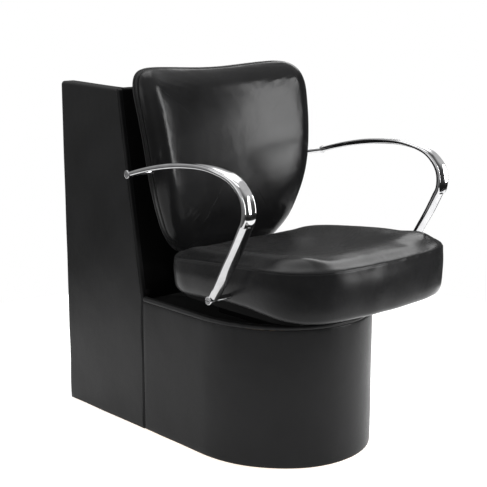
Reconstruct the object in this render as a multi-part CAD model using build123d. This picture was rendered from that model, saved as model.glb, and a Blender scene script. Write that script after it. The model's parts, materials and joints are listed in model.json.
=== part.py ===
from build123d import *

import os
from math import sqrt

# Salon dryer chair. A padded armchair stands on a D-shaped box pedestal, and behind the back
# rises a box column whose open top takes the foot of a hood dryer.
# Frame: millimetres, +Z up, sitter faces -Y, sitter's left is +X, origin on the floor
# under the middle of the bounding box.

# ---- driving dimensions -------------------------------------------------------------------
BOX_HALF = 230.0          # half width of the column and the pedestal, over the vinyl
REAR_Y = 468.0            # back face of the column
FRONT_Y = -468.0          # front of the seat
JOIN_Y = 136.5            # face where the pedestal meets the column
BASE_Z = 3.0              # underside of the box, on the levelling glides
PLY = 18.0                # plywood board
SKIN = 3.0                # vinyl with its thin foam backing

COLUMN_REAR_Z = 856.0     # top of the column at its rear edge
COLUMN_FRONT_Z = 852.0    # top of the column at its front edge
COLUMN_FRONT_TOP_Y = 219.0
SLOPE_Z = 350.0           # height where the column's front starts to lean back
CROWN_R = 7.0             # rounding of the padded top edge
REAR_CORNER_R = 10.0
WING_X = 190.0            # inner face of the padded wings
WING_FLAP_Z = 780.0       # lower end of the vinyl turned into the bay
REAR_PANEL_Z = 770.0      # top of the rear panel
REAR_PANEL_T = 12.0
SHELF_Z = 600.0           # top of the shelf that carries the dryer
SHELF_PLATE_ROOM = 25.0   # height above the shelf that the leaning front board leaves clear
SHELF_MID_Y = 320.0       # middle of the dryer's foot
SHELF_HOLE_R = 4.25       # clearance for M8
SHELF_HOLES = (90.0, 60.0)  # half the spacing of the four holes, across and front to rear
CLEAT = 20.0              # thickness of the cleats under the shelf and behind the panel
CLEAT_H = 30.0
WRAP_X = 217.5            # where the side vinyl ends on the column's front face
PANEL_SCREW_Z = (80.0, 400.0, 720.0)
PANEL_SCREW_HEAD_R = 4.5
PANEL_SCREW_R = 1.9
PANEL_SCREW_SOCKET_R = 1.6
PANEL_SCREW_LENGTH = 30.0

PEDESTAL_Z = 347.0        # top of the pedestal's rolled rim
NOSE_Y = -85.5            # where the pedestal's straight sides end
NOSE = 255.0              # length of its half-ellipse front
DECK_Z = 335.0            # top of the deck board
ROLL = 16.0               # width of the rolled rim
ROLL_H = 12.0             # how far the roll stands above the wall board
ROLL_R = 5.0              # rounding of the roll's edges
DECK_SKIN = 2.0
JOINING_X = 150.0         # bolts that hold the pedestal to the column
JOINING_Z = (90.0, 250.0)
NUT_R = 7.5               # M8 nut, corner radius
NUT_H = 6.5

RISER_X = 160.0           # half width of the frame that lifts the seat off the deck
RISER_Y = (-240.0, -70.0)
RAIL_T = 24.0
SEAT_BOLT_X = 110.0

SEAT_FRONT_HALF = 262.0
SEAT_MID_HALF = 268.0
SEAT_REAR_HALF = 256.0
SEAT_SIDE_Y = -255.0
SEAT_REAR_Y = 42.0
SEAT_BOW = (28.0, 12.0)   # how far the front and the rear edge bow out in the middle
SEAT_CORNER_R = (125.0, 105.0)  # round corners of its plan, front and rear
SEAT_UNDERSIDE = [(60, 390), (-60, 394), (-210, 407), (-340, 399), (-480, 385)]  # (y, z)
SEAT_CROWN = [(-480, 511), (-200, 499), (60, 484)]
SIDE_RAIL_X = (216.0, 238.0)  # rails beside the seat that take the arms' lower bolts
SIDE_RAIL_Y = (-300.0, -110.0)
SIDE_RAIL_H = 42.0
PANEL_Z = 385.0           # underside of the seat's base panel
PANEL_T = 25.0
PANEL_INSET = 24.0
PANEL_FRONT_Y = -400.0

BACK_Z = 610.0            # height at which the back stands furthest forward
BACK_Y = 44.0             # its front face there, on the centre line
BACK_CURVE_R = 1350.0     # the back wraps round the sitter on this radius
BACK_BULGE_R = 900.0      # seen from the side, it bulges forward on this radius
FRONT_FOAM = 40.0
SHELL = 14.0
REAR_FOAM = 14.0
BAND = 14.0               # width of the foam band round the shell's edge
BACK_TOP_Z = 909.0        # corners of the back's outline, before they are rounded
BACK_FOOT_Z = 452.0
BACK_TOP_HALF = 260.0
BACK_FOOT_HALF = 150.0
BACK_EDGE = [(213, 540), (243, 630), (258, 750), (265, 840)]  # (x, z) up its side
BACK_DIP = 12.0           # fall of the top edge towards the middle
BACK_CORNER_R = (50.0, 45.0)  # top and bottom
BACK_GAP = 1.0            # between the back's front face and the seat cushion

STRAP_X = (80.0, 120.0)   # steel straps: up the back of the shell and under the seat
STRAP_T = 6.0
STRAP_TOP = 610.0
STRAP_JOIN = (430.0, 436.0)  # heights between which its upright is welded to its foot
STRAP_FOOT_Y = -60.0
STRAP_BOLT_R = 3.0
STRAP_HEAD_R = 6.0
STRAP_HEAD_H = 3.5
STRAP_BOLTS_Z = (500.0, 580.0)
STRAP_BOLTS_Y = (-40.0, -15.0)

ARM_X = 315.0             # centre plane of each arm
ARM_REAR = (64.0, 669.0)  # (y, z) of the arm's upper fixing
ARM_FRONT = (-230.5, 427.5)
# the arm's centre line as (y, z), with the section's width across X and its thickness
ARM_STATIONS = [
    (ARM_REAR, 15.0, 10.0),
    ((-35.0, 695.0), 16.0, 11.0),
    ((-160.0, 713.0), 22.0, 12.0),
    ((-262.0, 709.0), 32.0, 13.0),
    ((-325.0, 682.0), 34.0, 14.0),
    ((-346.0, 640.0), 34.0, 15.0),
    ((-334.0, 597.0), 35.0, 14.0),
    ((-284.0, 510.0), 37.0, 12.5),
    ((-252.0, 459.0), 34.0, 12.5),
    (ARM_FRONT, 27.0, 13.0),
]
ARM_SECTIONS = 27
BOSS_R = 9.5
BOSS_HALF = (8.5, 14.0)   # half length of the bosses at the rear and the front fixing
SPACER_R = 6.0
BOLT_R = 4.0
BOLT_HEAD_R = 7.0
BOLT_HEAD_H = 5.5
BOLT_HEX_R = 3.4
BOLT_HEX_DEPTH = 2.9
BLOCK_X = (200.0, 237.0)  # tapped steel blocks let into the shell's edge
BLOCK_Y = (55.0, 82.0)
BLOCK_HALF_Z = 22.0

GLIDE_STEM_R = 5.0
GLIDE_CLEARANCE = 0.05
GLIDE_FOOT_R = 20.0
GLIDE_STEM_TOP = 46.0
INSERT_R = 8.0
GLIDES = {
    "rear_left": (180.0, 410.0),
    "rear_right": (-180.0, 410.0),
    "front_left": (120.0, -200.0),
    "front_right": (-120.0, -200.0),
}

parts = {}


# ---- helpers ------------------------------------------------------------------------------
def block(x0, x1, y0, y1, z0, z1):
    """Box between two corners."""
    middle = Pos((x0 + x1) / 2, (y0 + y1) / 2, (z0 + z1) / 2)
    return middle * Box(x1 - x0, y1 - y0, z1 - z0)


def side_prism(points, x0, x1):
    """Prism of a closed (y, z) polygon between two x positions."""
    face = make_face(Polyline(*[(x0, y, z) for y, z in points], close=True))
    return extrude(face, amount=x1 - x0, dir=(1, 0, 0))


def rod_x(radius, x0, x1, y, z):
    """Round bar along X."""
    return Pos((x0 + x1) / 2, y, z) * Rot(0, 90, 0) * Cylinder(radius, x1 - x0)


def rod_y(radius, y0, y1, x, z):
    """Round bar along Y."""
    return Pos(x, (y0 + y1) / 2, z) * Rot(90, 0, 0) * Cylinder(radius, y1 - y0)


def rod_z(radius, z0, z1, x, y):
    """Round bar along Z."""
    return Pos(x, y, (z0 + z1) / 2) * Cylinder(radius, z1 - z0)


def mirrored(shape):
    return mirror(shape, about=Plane.YZ)


def pair(left, right, shape):
    """Store a piece on the sitter's left and its mirror image on the right."""
    parts[left] = shape
    parts[right] = mirrored(shape)


def both_sides(shape):
    """A piece and its mirror image, as two separate solids."""
    return Compound(children=[shape.solid(), mirrored(shape).solid()])


def many(shapes):
    return Compound(children=[shape.solid() for shape in shapes])


# ---- column -------------------------------------------------------------------------------
def front_line_y(z, inset):
    """y of the column's front face, moved back by inset."""
    lean = (COLUMN_FRONT_TOP_Y - JOIN_Y) / (COLUMN_FRONT_Z - SLOPE_Z)
    return JOIN_Y + inset + max(0.0, z - SLOPE_Z) * lean


def top_line_z(y, drop):
    """z of the column's top edge, lowered by drop."""
    fall = (COLUMN_REAR_Z - COLUMN_FRONT_Z) / (REAR_Y - COLUMN_FRONT_TOP_Y)
    return COLUMN_REAR_Z - drop - (REAR_Y - y) * fall


def column_outline(inset):
    """Side view of the column as a (y, z) polygon, inset all round but at the base."""
    top_z = top_line_z(COLUMN_FRONT_TOP_Y, inset)
    return [
        (JOIN_Y + inset, BASE_Z),
        (JOIN_Y + inset, SLOPE_Z),
        (front_line_y(top_z, inset), top_z),
        (REAR_Y - inset, top_line_z(REAR_Y - inset, inset)),
        (REAR_Y - inset, BASE_Z),
    ]


def column_slab(inset, x0, x1):
    """The column's side view as a slab, with its rear top corner rounded."""
    slab = side_prism(column_outline(inset), x0, x1)
    corner = slab.edges().filter_by(Axis.X).sort_by(Axis.Z)[-1]
    return fillet(corner, REAR_CORNER_R - inset)


def front_zone(depth, x0, x1):
    """Everything within depth behind the column's front face."""
    top = COLUMN_REAR_Z + 10
    outline = [
        (JOIN_Y - 10, 0),
        (JOIN_Y + depth, 0),
        (JOIN_Y + depth, SLOPE_Z),
        (front_line_y(top, depth), top),
        (JOIN_Y - 10, top),
    ]
    return side_prism(outline, x0, x1)


board_outer = BOX_HALF - SKIN
board_inner = board_outer - PLY
column_body = column_slab(SKIN, -BOX_HALF - 10, BOX_HALF + 10)

pair("tower_left_board", "tower_right_board", column_slab(SKIN, board_inner, board_outer))

between_boards = column_slab(SKIN, -board_inner, board_inner)
front_boards = between_boards & front_zone(SKIN + PLY, -board_inner, board_inner)
parts["tower_front_lower_board"] = front_boards & block(-300, 300, 0, 400, BASE_Z, SLOPE_Z)
parts["tower_front_upper_board"] = front_boards & block(-300, 300, 0, 400, SLOPE_Z, 900)

front_board_rear_y = JOIN_Y + SKIN + PLY
panel_y0 = REAR_Y - SKIN - REAR_PANEL_T
parts["tower_base_board"] = block(
    -board_inner, board_inner, front_board_rear_y, REAR_Y - SKIN, BASE_Z, BASE_Z + PLY
)

# battens that thicken the wings' top edge, behind the front board
batten = column_slab(SKIN, WING_X + SKIN, board_inner) & block(0, 300, 0, 500, WING_FLAP_Z, 900)
batten = batten - front_zone(SKIN + PLY + SKIN, 0, 300)
parts["wing_battens"] = both_sides(batten)

# side vinyl: outer face, top lip, flap into the bay, and the edges of the board
cover = column_slab(0, WING_X, BOX_HALF)
outside_top = cover.edges().filter_by(lambda e: e.center().X > BOX_HALF - 1 and e.center().Z > 600)
cover = fillet(outside_top.filter_by(lambda e: e.center().Y > COLUMN_FRONT_TOP_Y - 30), CROWN_R)
cover = cover - column_slab(SKIN, WING_X + SKIN, board_outer)
cover = cover - block(0, board_inner, 0, 500, 0, WING_FLAP_Z)
cover = cover - front_zone(SKIN + PLY + SKIN, 0, WRAP_X)
cover = cover - block(0, board_outer, JOIN_Y + SKIN, REAR_Y - SKIN, 0, BASE_Z + 1)
cover = cover - block(0, board_inner, REAR_Y - SKIN, REAR_Y, 0, WING_FLAP_Z)
pair("tower_left_cover", "tower_right_cover", cover)

# front vinyl: face, top edge and flap into the bay
front_skin = column_slab(0, -WRAP_X, WRAP_X) & front_zone(SKIN + PLY + SKIN, -WRAP_X, WRAP_X)
front_skin = front_skin - column_body
flap = between_boards & front_zone(SKIN + PLY + SKIN, -board_inner, board_inner)
flap = flap & block(-WING_X, WING_X, 0, 400, WING_FLAP_Z, 900)
parts["tower_front_cover"] = front_skin + (flap - front_boards)

# shelf for the dryer, on cleats, with the four holes for its foot
shelf_y0 = front_line_y(SHELF_Z + SHELF_PLATE_ROOM, SKIN + PLY)
shelf_y1 = panel_y0 - CLEAT
shelf_bottom = SHELF_Z - PLY
shelf = block(-board_inner, board_inner, shelf_y0, shelf_y1, shelf_bottom, SHELF_Z)
for side in (-1, 1):
    for step in (-1, 1):
        hole_x = side * SHELF_HOLES[0]
        hole_y = SHELF_MID_Y + step * SHELF_HOLES[1]
        shelf = shelf - rod_z(SHELF_HOLE_R, shelf_bottom - 1, SHELF_Z + 1, hole_x, hole_y)
parts["dryer_shelf"] = shelf
parts["shelf_cleats"] = both_sides(
    block(
        board_inner - CLEAT, board_inner, shelf_y0, shelf_y1, shelf_bottom - CLEAT_H, shelf_bottom
    )
)

# rear panel, screwed to two upright cleats
rear_panel = block(-board_inner, board_inner, panel_y0, REAR_Y - SKIN, BASE_Z + PLY, REAR_PANEL_Z)
rear_cover = block(-board_inner, board_inner, REAR_Y - SKIN, REAR_Y, BASE_Z, REAR_PANEL_Z)
rear_cleat = block(
    board_inner - CLEAT, board_inner, shelf_y1, panel_y0, BASE_Z + PLY, REAR_PANEL_Z
)
screw_x = board_inner - CLEAT / 2
screws = []
for x in (-screw_x, screw_x):
    for z in PANEL_SCREW_Z:
        head = rod_y(PANEL_SCREW_HEAD_R, REAR_Y - SKIN, REAR_Y - 0.5, x, z)
        socket = rod_y(PANEL_SCREW_SOCKET_R, REAR_Y - 2.0, REAR_Y, x, z)
        shank = rod_y(PANEL_SCREW_R, REAR_Y - PANEL_SCREW_LENGTH, REAR_Y - SKIN, x, z)
        screws.append(head - socket + shank)
        rear_cover = rear_cover - rod_y(PANEL_SCREW_HEAD_R, REAR_Y - SKIN, REAR_Y + 1, x, z)
for screw in screws:
    rear_panel = rear_panel - screw
    rear_cleat = rear_cleat - screw
parts["tower_rear_panel"] = rear_panel
parts["tower_rear_cover"] = rear_cover
parts["rear_panel_cleats"] = both_sides(rear_cleat)
parts["rear_panel_screws"] = many(screws)


# ---- pedestal -----------------------------------------------------------------------------
def d_prism(inset, rear_y, z0, z1):
    """Upright D: straight sides and a half-ellipse front, inset from the outside."""
    half = BOX_HALF - inset
    side = Line((half, NOSE_Y), (half, rear_y))
    rear = Line((half, rear_y), (-half, rear_y))
    other = Line((-half, rear_y), (-half, NOSE_Y))
    front = EllipticalCenterArc((0, NOSE_Y), half, NOSE - inset, 180, arc_size=180)
    face = make_face([side, rear, other, front])
    return extrude(Pos(0, 0, z0) * face, amount=z1 - z0, dir=(0, 0, 1))


inner_d = SKIN + PLY
wall_top = PEDESTAL_Z - ROLL_H
wall = d_prism(SKIN, JOIN_Y, BASE_Z, wall_top) - d_prism(inner_d, JOIN_Y, BASE_Z, wall_top)
pair(
    "pedestal_left_board",
    "pedestal_right_board",
    wall & block(0, 300, NOSE_Y, JOIN_Y, 0, 400),
)
parts["pedestal_front_bend"] = wall & block(-300, 300, -400, NOSE_Y, 0, 400)
parts["pedestal_rear_board"] = block(
    -board_inner, board_inner, JOIN_Y - PLY, JOIN_Y, BASE_Z, DECK_Z - PLY
)
parts["pedestal_bottom_board"] = d_prism(inner_d, JOIN_Y - PLY, BASE_Z, BASE_Z + PLY)
parts["pedestal_deck_board"] = d_prism(inner_d, JOIN_Y, DECK_Z - PLY, DECK_Z)
parts["pedestal_deck_cover"] = d_prism(ROLL, JOIN_Y, DECK_Z, DECK_Z + DECK_SKIN)
parts["pedestal_cover"] = d_prism(0, JOIN_Y, BASE_Z, wall_top) - d_prism(
    SKIN, JOIN_Y, BASE_Z - 1, wall_top + 1
)
roll = d_prism(0, JOIN_Y, wall_top, PEDESTAL_Z) - d_prism(
    ROLL, JOIN_Y + 1, wall_top - 1, PEDESTAL_Z + 1
)
roll_edges = roll.edges().filter_by(lambda e: e.center().Z > PEDESTAL_Z - 0.5)
parts["pedestal_rim_roll"] = fillet(
    roll_edges.filter_by(lambda e: e.center().Y < JOIN_Y - 1), ROLL_R
)

# bolts that hold the pedestal to the column
joining = []
for side in (-1, 1):
    for z in JOINING_Z:
        x = side * JOINING_X
        head_y = JOIN_Y - PLY
        shank = rod_y(BOLT_R, head_y, front_board_rear_y, x, z)
        head = rod_y(9.0, head_y - 5, head_y, x, z)
        nut_hex = extrude(RegularPolygon(NUT_R, 6), amount=NUT_H)
        nut = Pos(x, front_board_rear_y, z) * Rot(-90, 0, 0) * nut_hex
        joining.append(head + shank + nut)
for bolt in joining:
    for node in ("pedestal_rear_board", "tower_front_cover", "tower_front_lower_board"):
        parts[node] = parts[node] - bolt
parts["joining_bolts"] = many(joining)


# ---- levelling glides ---------------------------------------------------------------------
inserts = []
for name, (x, y) in GLIDES.items():
    stem = rod_z(GLIDE_STEM_R, BASE_Z, GLIDE_STEM_TOP, x, y)
    foot = rod_z(GLIDE_FOOT_R, 0, BASE_Z, x, y)
    foot = chamfer(foot.edges().group_by(Axis.Z)[0], 0.8)
    parts["levelling_glide_" + name] = foot + stem
    bore = rod_z(GLIDE_STEM_R + GLIDE_CLEARANCE, 0, 60, x, y)
    insert = rod_z(INSERT_R, BASE_Z, BASE_Z + PLY, x, y)
    flange = rod_z(INSERT_R + 5, BASE_Z + PLY, BASE_Z + PLY + 1.5, x, y)
    inserts.append(insert + flange - bore)
    node = "tower_base_board" if name.startswith("rear") else "pedestal_bottom_board"
    parts[node] = parts[node] - rod_z(INSERT_R, 0, 60, x, y)
parts["glide_inserts"] = many(inserts)


# ---- seat ---------------------------------------------------------------------------------
def seat_plan(inset):
    """Plan of the seat, inset all round: four bowed sides with large round corners."""
    front_y = FRONT_Y + SEAT_BOW[0] + inset
    rear_y = SEAT_REAR_Y - SEAT_BOW[1] - inset
    front_half = SEAT_FRONT_HALF - inset
    mid_half = SEAT_MID_HALF - inset
    rear_half = SEAT_REAR_HALF - inset
    front = ThreePointArc((-front_half, front_y), (0, FRONT_Y + inset), (front_half, front_y))
    left = ThreePointArc((front_half, front_y), (mid_half, SEAT_SIDE_Y), (rear_half, rear_y))
    rear = ThreePointArc((rear_half, rear_y), (0, SEAT_REAR_Y - inset), (-rear_half, rear_y))
    right = ThreePointArc((-rear_half, rear_y), (-mid_half, SEAT_SIDE_Y), (-front_half, front_y))
    plan = make_face([front, left, rear, right])
    plan = fillet(plan.vertices().group_by(Axis.Y)[0], SEAT_CORNER_R[0] - inset)
    return fillet(plan.vertices().group_by(Axis.Y)[-1], SEAT_CORNER_R[1] - inset)


def upright(plan, z0, z1):
    """Prism of a plan between two heights."""
    return extrude(Pos(0, 0, z0) * plan, amount=z1 - z0, dir=(0, 0, 1))


# side view of the cushion: it thickens towards the front, where it hangs over the base panel
underside = Spline(*[(0, y, z) for y, z in SEAT_UNDERSIDE])
crown = Spline(*[(0, y, z) for y, z in SEAT_CROWN])
nose = Line(underside @ 1, crown @ 0)
tail = Line(crown @ 1, underside @ 0)
profile = make_face([underside, nose, crown, tail])
cushion = extrude(profile, amount=300, dir=(1, 0, 0), both=True)
cushion = cushion & upright(seat_plan(0), 300, 600)

panel_top = PANEL_Z + PANEL_T
panel_window = block(-300, 300, PANEL_FRONT_Y, 100, 300, panel_top)
base_panel = upright(seat_plan(PANEL_INSET), PANEL_Z, panel_top) & panel_window
pocket = upright(seat_plan(PANEL_INSET), 300, panel_top) & panel_window

rail = block(*SIDE_RAIL_X, *SIDE_RAIL_Y, panel_top, panel_top + SIDE_RAIL_H)
pair("seat_left_rail", "seat_right_rail", rail)

# riser: a frame of four rails that lifts the seat off the deck
deck_top = DECK_Z + DECK_SKIN
riser_front = block(-RISER_X, RISER_X, RISER_Y[0], RISER_Y[0] + RAIL_T, deck_top, PANEL_Z)
riser_rear = block(-RISER_X, RISER_X, RISER_Y[1] - RAIL_T, RISER_Y[1], deck_top, PANEL_Z)
pair(
    "riser_left_rail",
    "riser_right_rail",
    block(RISER_X - RAIL_T, RISER_X, RISER_Y[0] + RAIL_T, RISER_Y[1] - RAIL_T, deck_top, PANEL_Z),
)

seat_bolts = []
for x in (-SEAT_BOLT_X, SEAT_BOLT_X):
    for y in (RISER_Y[0] + RAIL_T / 2, RISER_Y[1] - RAIL_T / 2):
        shank = rod_z(BOLT_R, DECK_Z - PLY, panel_top, x, y)
        head = rod_z(8.0, panel_top - 6, panel_top, x, y)
        nut = Pos(x, y, DECK_Z - PLY - NUT_H) * extrude(RegularPolygon(NUT_R, 6), amount=NUT_H)
        seat_bolts.append(shank + head + nut)
for bolt in seat_bolts:
    base_panel = base_panel - bolt
    riser_front = riser_front - bolt
    riser_rear = riser_rear - bolt
    for node in ("pedestal_deck_board", "pedestal_deck_cover"):
        parts[node] = parts[node] - bolt
parts["riser_front_rail"] = riser_front
parts["riser_rear_rail"] = riser_rear
parts["seat_bolts"] = many(seat_bolts)


# ---- back ---------------------------------------------------------------------------------
def back_outline(inset):
    """Front view of the back in (x, z), inset all round: a shield with a dipped top edge."""
    top_z = BACK_TOP_Z - inset
    foot_z = BACK_FOOT_Z + inset
    top_half = BACK_TOP_HALF - inset
    foot_half = BACK_FOOT_HALF - inset
    edge = [(foot_half, foot_z), *[(x - inset, z) for x, z in BACK_EDGE], (top_half, top_z)]
    side = Spline(*[(x, 0, z) for x, z in edge])
    top = ThreePointArc((top_half, 0, top_z), (0, 0, top_z - BACK_DIP), (-top_half, 0, top_z))
    foot = Line((-foot_half, 0, foot_z), (foot_half, 0, foot_z))
    outline = make_face([side, top, mirror(side, about=Plane.YZ), foot])
    outline = fillet(outline.vertices().group_by(Axis.Z)[-1], BACK_CORNER_R[0] - inset)
    return fillet(outline.vertices().group_by(Axis.Z)[0], BACK_CORNER_R[1] - inset)


def saddle(depth0, depth1):
    """Curved sheet that wraps round the sitter and bulges forward, between two depths."""
    reach = SEAT_MID_HALF + 32
    centre_y = BACK_Y - BACK_CURVE_R

    def arc(depth):
        end_y = centre_y + sqrt((BACK_CURVE_R + depth) ** 2 - reach**2)
        ends = [(-reach, end_y, BACK_Z), (reach, end_y, BACK_Z)]
        return ThreePointArc(ends[0], (0, BACK_Y + depth, BACK_Z), ends[1])

    front = arc(depth0)
    rear = arc(depth1)
    section = make_face([front, rear, Line(front @ 0, rear @ 0), Line(front @ 1, rear @ 1)])
    axle = Axis((0, BACK_Y + BACK_BULGE_R, BACK_Z), (1, 0, 0))
    return revolve(section, axis=axle, revolution_arc=60).rotate(axle, -30)


def back_layer(depth0, depth1, outline):
    """Part of the back between two depths behind its front face."""
    column = extrude(Pos(0, 250, 0) * outline, amount=350, dir=(0, -1, 0))
    return saddle(depth0, depth1) & column


outline = back_outline(0)
shell_outline = back_outline(BAND)
shell_depth = FRONT_FOAM
rear_depth = FRONT_FOAM + SHELL
back_depth = rear_depth + REAR_FOAM
shell = back_layer(shell_depth, rear_depth, shell_outline)
side_band = back_layer(shell_depth, rear_depth, outline) - shell
front_cushion = back_layer(0, shell_depth, outline)
rear_pad = back_layer(rear_depth, back_depth, outline)

# steel straps: up the back of the shell and under the rear of the seat
strap_arc = saddle(rear_depth, rear_depth + STRAP_T)
strap_upper = strap_arc & block(*STRAP_X, 0, 200, STRAP_JOIN[0], STRAP_TOP)
join = strap_upper & block(*STRAP_X, 0, 200, *STRAP_JOIN)
bend_y = join.bounding_box().min.Y + 1
strap_lower = side_prism(
    [
        (STRAP_FOOT_Y, PANEL_Z - STRAP_T),
        (bend_y + STRAP_T, PANEL_Z - STRAP_T),
        (bend_y + STRAP_T, STRAP_JOIN[1]),
        (bend_y, STRAP_JOIN[1]),
        (bend_y, PANEL_Z),
        (STRAP_FOOT_Y, PANEL_Z),
    ],
    *STRAP_X,
)
strap = strap_upper + strap_lower
middle_x = sum(STRAP_X) / 2
bolt_solids = []
for z in STRAP_BOLTS_Z:
    wrap = middle_x**2 / 2 / BACK_CURVE_R
    y = BACK_Y + rear_depth - wrap + (z - BACK_Z) ** 2 / 2 / BACK_BULGE_R
    shank = rod_y(STRAP_BOLT_R, y - SHELL + 3, y + STRAP_T + 1, middle_x, z)
    head_y = y + STRAP_T
    bolt_solids.append(shank + rod_y(STRAP_HEAD_R, head_y, head_y + STRAP_HEAD_H, middle_x, z))
for y in STRAP_BOLTS_Y:
    head_z = PANEL_Z - STRAP_T
    shank = rod_z(STRAP_BOLT_R, head_z - 1, panel_top, middle_x, y)
    bolt_solids.append(shank + rod_z(STRAP_HEAD_R, head_z - STRAP_HEAD_H, head_z, middle_x, y))
for bolt in bolt_solids:
    strap = strap - bolt
    for shape in (bolt, mirrored(bolt)):
        shell = shell - shape
        rear_pad = rear_pad - shape
        base_panel = base_panel - shape
for shape in (strap, mirrored(strap)):
    rear_pad = rear_pad - shape
pair("back_left_strap", "back_right_strap", strap)
parts["strap_bolts"] = many(bolt_solids + [mirrored(bolt) for bolt in bolt_solids])


# ---- arms ---------------------------------------------------------------------------------
arm_path = Spline(*[(ARM_X, y, z) for (y, z), _, _ in ARM_STATIONS])
# width and thickness as curves over the distance along the arm
reach = [arm_path.param_at_point((ARM_X, y, z)) for (y, z), _, _ in ARM_STATIONS]
sizes = Spline(*[(1000 * t, w, h) for t, (_, w, h) in zip(reach, ARM_STATIONS)])
sections = []
for step in range(ARM_SECTIONS):
    place = step / (ARM_SECTIONS - 1)
    size = sizes @ place
    plane = Plane(origin=arm_path @ place, x_dir=(1, 0, 0), z_dir=arm_path % place)
    sections.append(plane * Ellipse(size.Y / 2, size.Z / 2))
arm = loft(sections)
bolts = []
spacers = []
for (y, z), half, inner_x in zip(
    (ARM_REAR, ARM_FRONT), BOSS_HALF, (BLOCK_X[1], SIDE_RAIL_X[1])
):
    boss_face = ARM_X + half
    head_x = boss_face + 0.5 - BOLT_HEAD_H
    arm = arm + rod_x(BOSS_R, ARM_X - half, boss_face, y, z)
    shank = rod_x(BOLT_R, inner_x - 20, head_x, y, z)
    head = rod_x(BOLT_HEAD_R, head_x, boss_face + 0.5, y, z)
    socket = extrude(RegularPolygon(BOLT_HEX_R, 6), amount=BOLT_HEX_DEPTH + 1)
    head = head - Pos(boss_face + 0.5 - BOLT_HEX_DEPTH, y, z) * Rot(0, 90, 0) * socket
    bolts.append(shank + head)
    spacer = rod_x(SPACER_R, inner_x, ARM_X - half, y, z)
    spacers.append(spacer - rod_x(BOLT_R, inner_x - 1, ARM_X, y, z))
    arm = arm - rod_x(BOLT_R, ARM_X - half - 5, ARM_X + half + 5, y, z)
    arm = arm - rod_x(BOLT_HEAD_R, head_x, boss_face + 10, y, z)
    arm = arm - rod_x(BOSS_R, ARM_X - half - 10, ARM_X - half, y, z)
pair("arm_left", "arm_right", arm)
parts["arm_left_bolts"] = many(bolts)
parts["arm_right_bolts"] = many([mirrored(bolt) for bolt in bolts])
parts["arm_left_spacers"] = many(spacers)
parts["arm_right_spacers"] = many([mirrored(spacer) for spacer in spacers])

# steel blocks let into the shell's edge, tapped for the arms' upper bolts
block_z = (ARM_REAR[1] - BLOCK_HALF_Z, ARM_REAR[1] + BLOCK_HALF_Z)
arm_block = block(*BLOCK_X, *BLOCK_Y, *block_z)
for shape in (arm_block, mirrored(arm_block)):
    shell = shell - shape
    side_band = side_band - shape
    front_cushion = front_cushion - shape
    rear_pad = rear_pad - shape
arm_block = arm_block - bolts[0]
pair("back_left_arm_block", "back_right_arm_block", arm_block)
for side in (1, -1):
    for y, z in (ARM_REAR, ARM_FRONT):
        rod = rod_x(SPACER_R, BLOCK_X[1], ARM_X, y, z)
        rod = rod if side > 0 else mirrored(rod)
        front_cushion = front_cushion - rod
        side_band = side_band - rod
        rear_pad = rear_pad - rod
        cushion = cushion - rod
for node in ("seat_left_rail", "seat_right_rail"):
    rail_bolt = bolts[1] if node == "seat_left_rail" else mirrored(bolts[1])
    parts[node] = parts[node] - rail_bolt
cushion = cushion - pocket - rail - mirrored(rail)
# the seat's rear is pressed to the back's front face
cushion = cushion - back_layer(-BACK_GAP, back_depth, outline)

parts["seat_base_panel"] = base_panel
parts["seat_cushion"] = cushion
parts["back_shell"] = shell
parts["back_side_band"] = side_band
parts["back_front_cushion"] = front_cushion
parts["back_rear_pad"] = rear_pad

# ---- write one file per piece -------------------------------------------------------------
os.makedirs("parts", exist_ok=True)
for node, shape in parts.items():
    export_step(shape, "parts/" + node + ".step")
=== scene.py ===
import json
import math

import bmesh
import bpy
import numpy as np
from mathutils import Matrix, Vector
from mathutils.geometry import convex_hull_2d
from mathutils.kdtree import KDTree


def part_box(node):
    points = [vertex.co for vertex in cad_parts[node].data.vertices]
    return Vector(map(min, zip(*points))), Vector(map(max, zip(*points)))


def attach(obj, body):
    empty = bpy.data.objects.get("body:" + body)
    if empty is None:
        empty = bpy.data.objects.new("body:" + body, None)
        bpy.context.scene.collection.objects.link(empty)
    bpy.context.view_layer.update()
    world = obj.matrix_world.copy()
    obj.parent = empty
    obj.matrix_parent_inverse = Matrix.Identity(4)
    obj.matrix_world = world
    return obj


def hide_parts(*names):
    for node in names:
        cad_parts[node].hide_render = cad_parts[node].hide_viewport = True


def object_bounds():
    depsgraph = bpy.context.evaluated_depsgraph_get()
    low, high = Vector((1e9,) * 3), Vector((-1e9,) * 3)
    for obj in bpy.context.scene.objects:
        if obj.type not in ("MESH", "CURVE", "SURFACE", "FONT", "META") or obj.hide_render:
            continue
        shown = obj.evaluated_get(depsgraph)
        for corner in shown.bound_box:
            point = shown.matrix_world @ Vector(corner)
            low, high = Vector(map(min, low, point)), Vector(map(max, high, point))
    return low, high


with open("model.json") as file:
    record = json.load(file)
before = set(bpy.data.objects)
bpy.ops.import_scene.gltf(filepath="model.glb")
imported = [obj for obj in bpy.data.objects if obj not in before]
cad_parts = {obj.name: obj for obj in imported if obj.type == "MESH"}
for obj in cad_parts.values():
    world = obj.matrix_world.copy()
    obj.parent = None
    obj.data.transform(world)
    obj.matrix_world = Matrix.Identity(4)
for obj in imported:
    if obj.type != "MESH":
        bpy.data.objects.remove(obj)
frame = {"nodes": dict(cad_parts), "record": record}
CAD_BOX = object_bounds()
CHAIR = "chair"


# ---- small helpers ------------------------------------------------------------------------
def span(node):
    """Lowest and highest corner of a CAD node as numpy rows."""
    low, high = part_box(node)
    return np.array(low), np.array(high)


def points_of(node):
    """Corners of a CAD node's mesh."""
    return np.array([v.co for v in frame["nodes"][node].data.vertices], float)


def smoothstep(x, low, high):
    """0 below low, 1 above high and an even S between."""
    t = np.clip((np.asarray(x, float) - low) / (high - low), 0, 1)
    return t * t * (3 - 2 * t)


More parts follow.
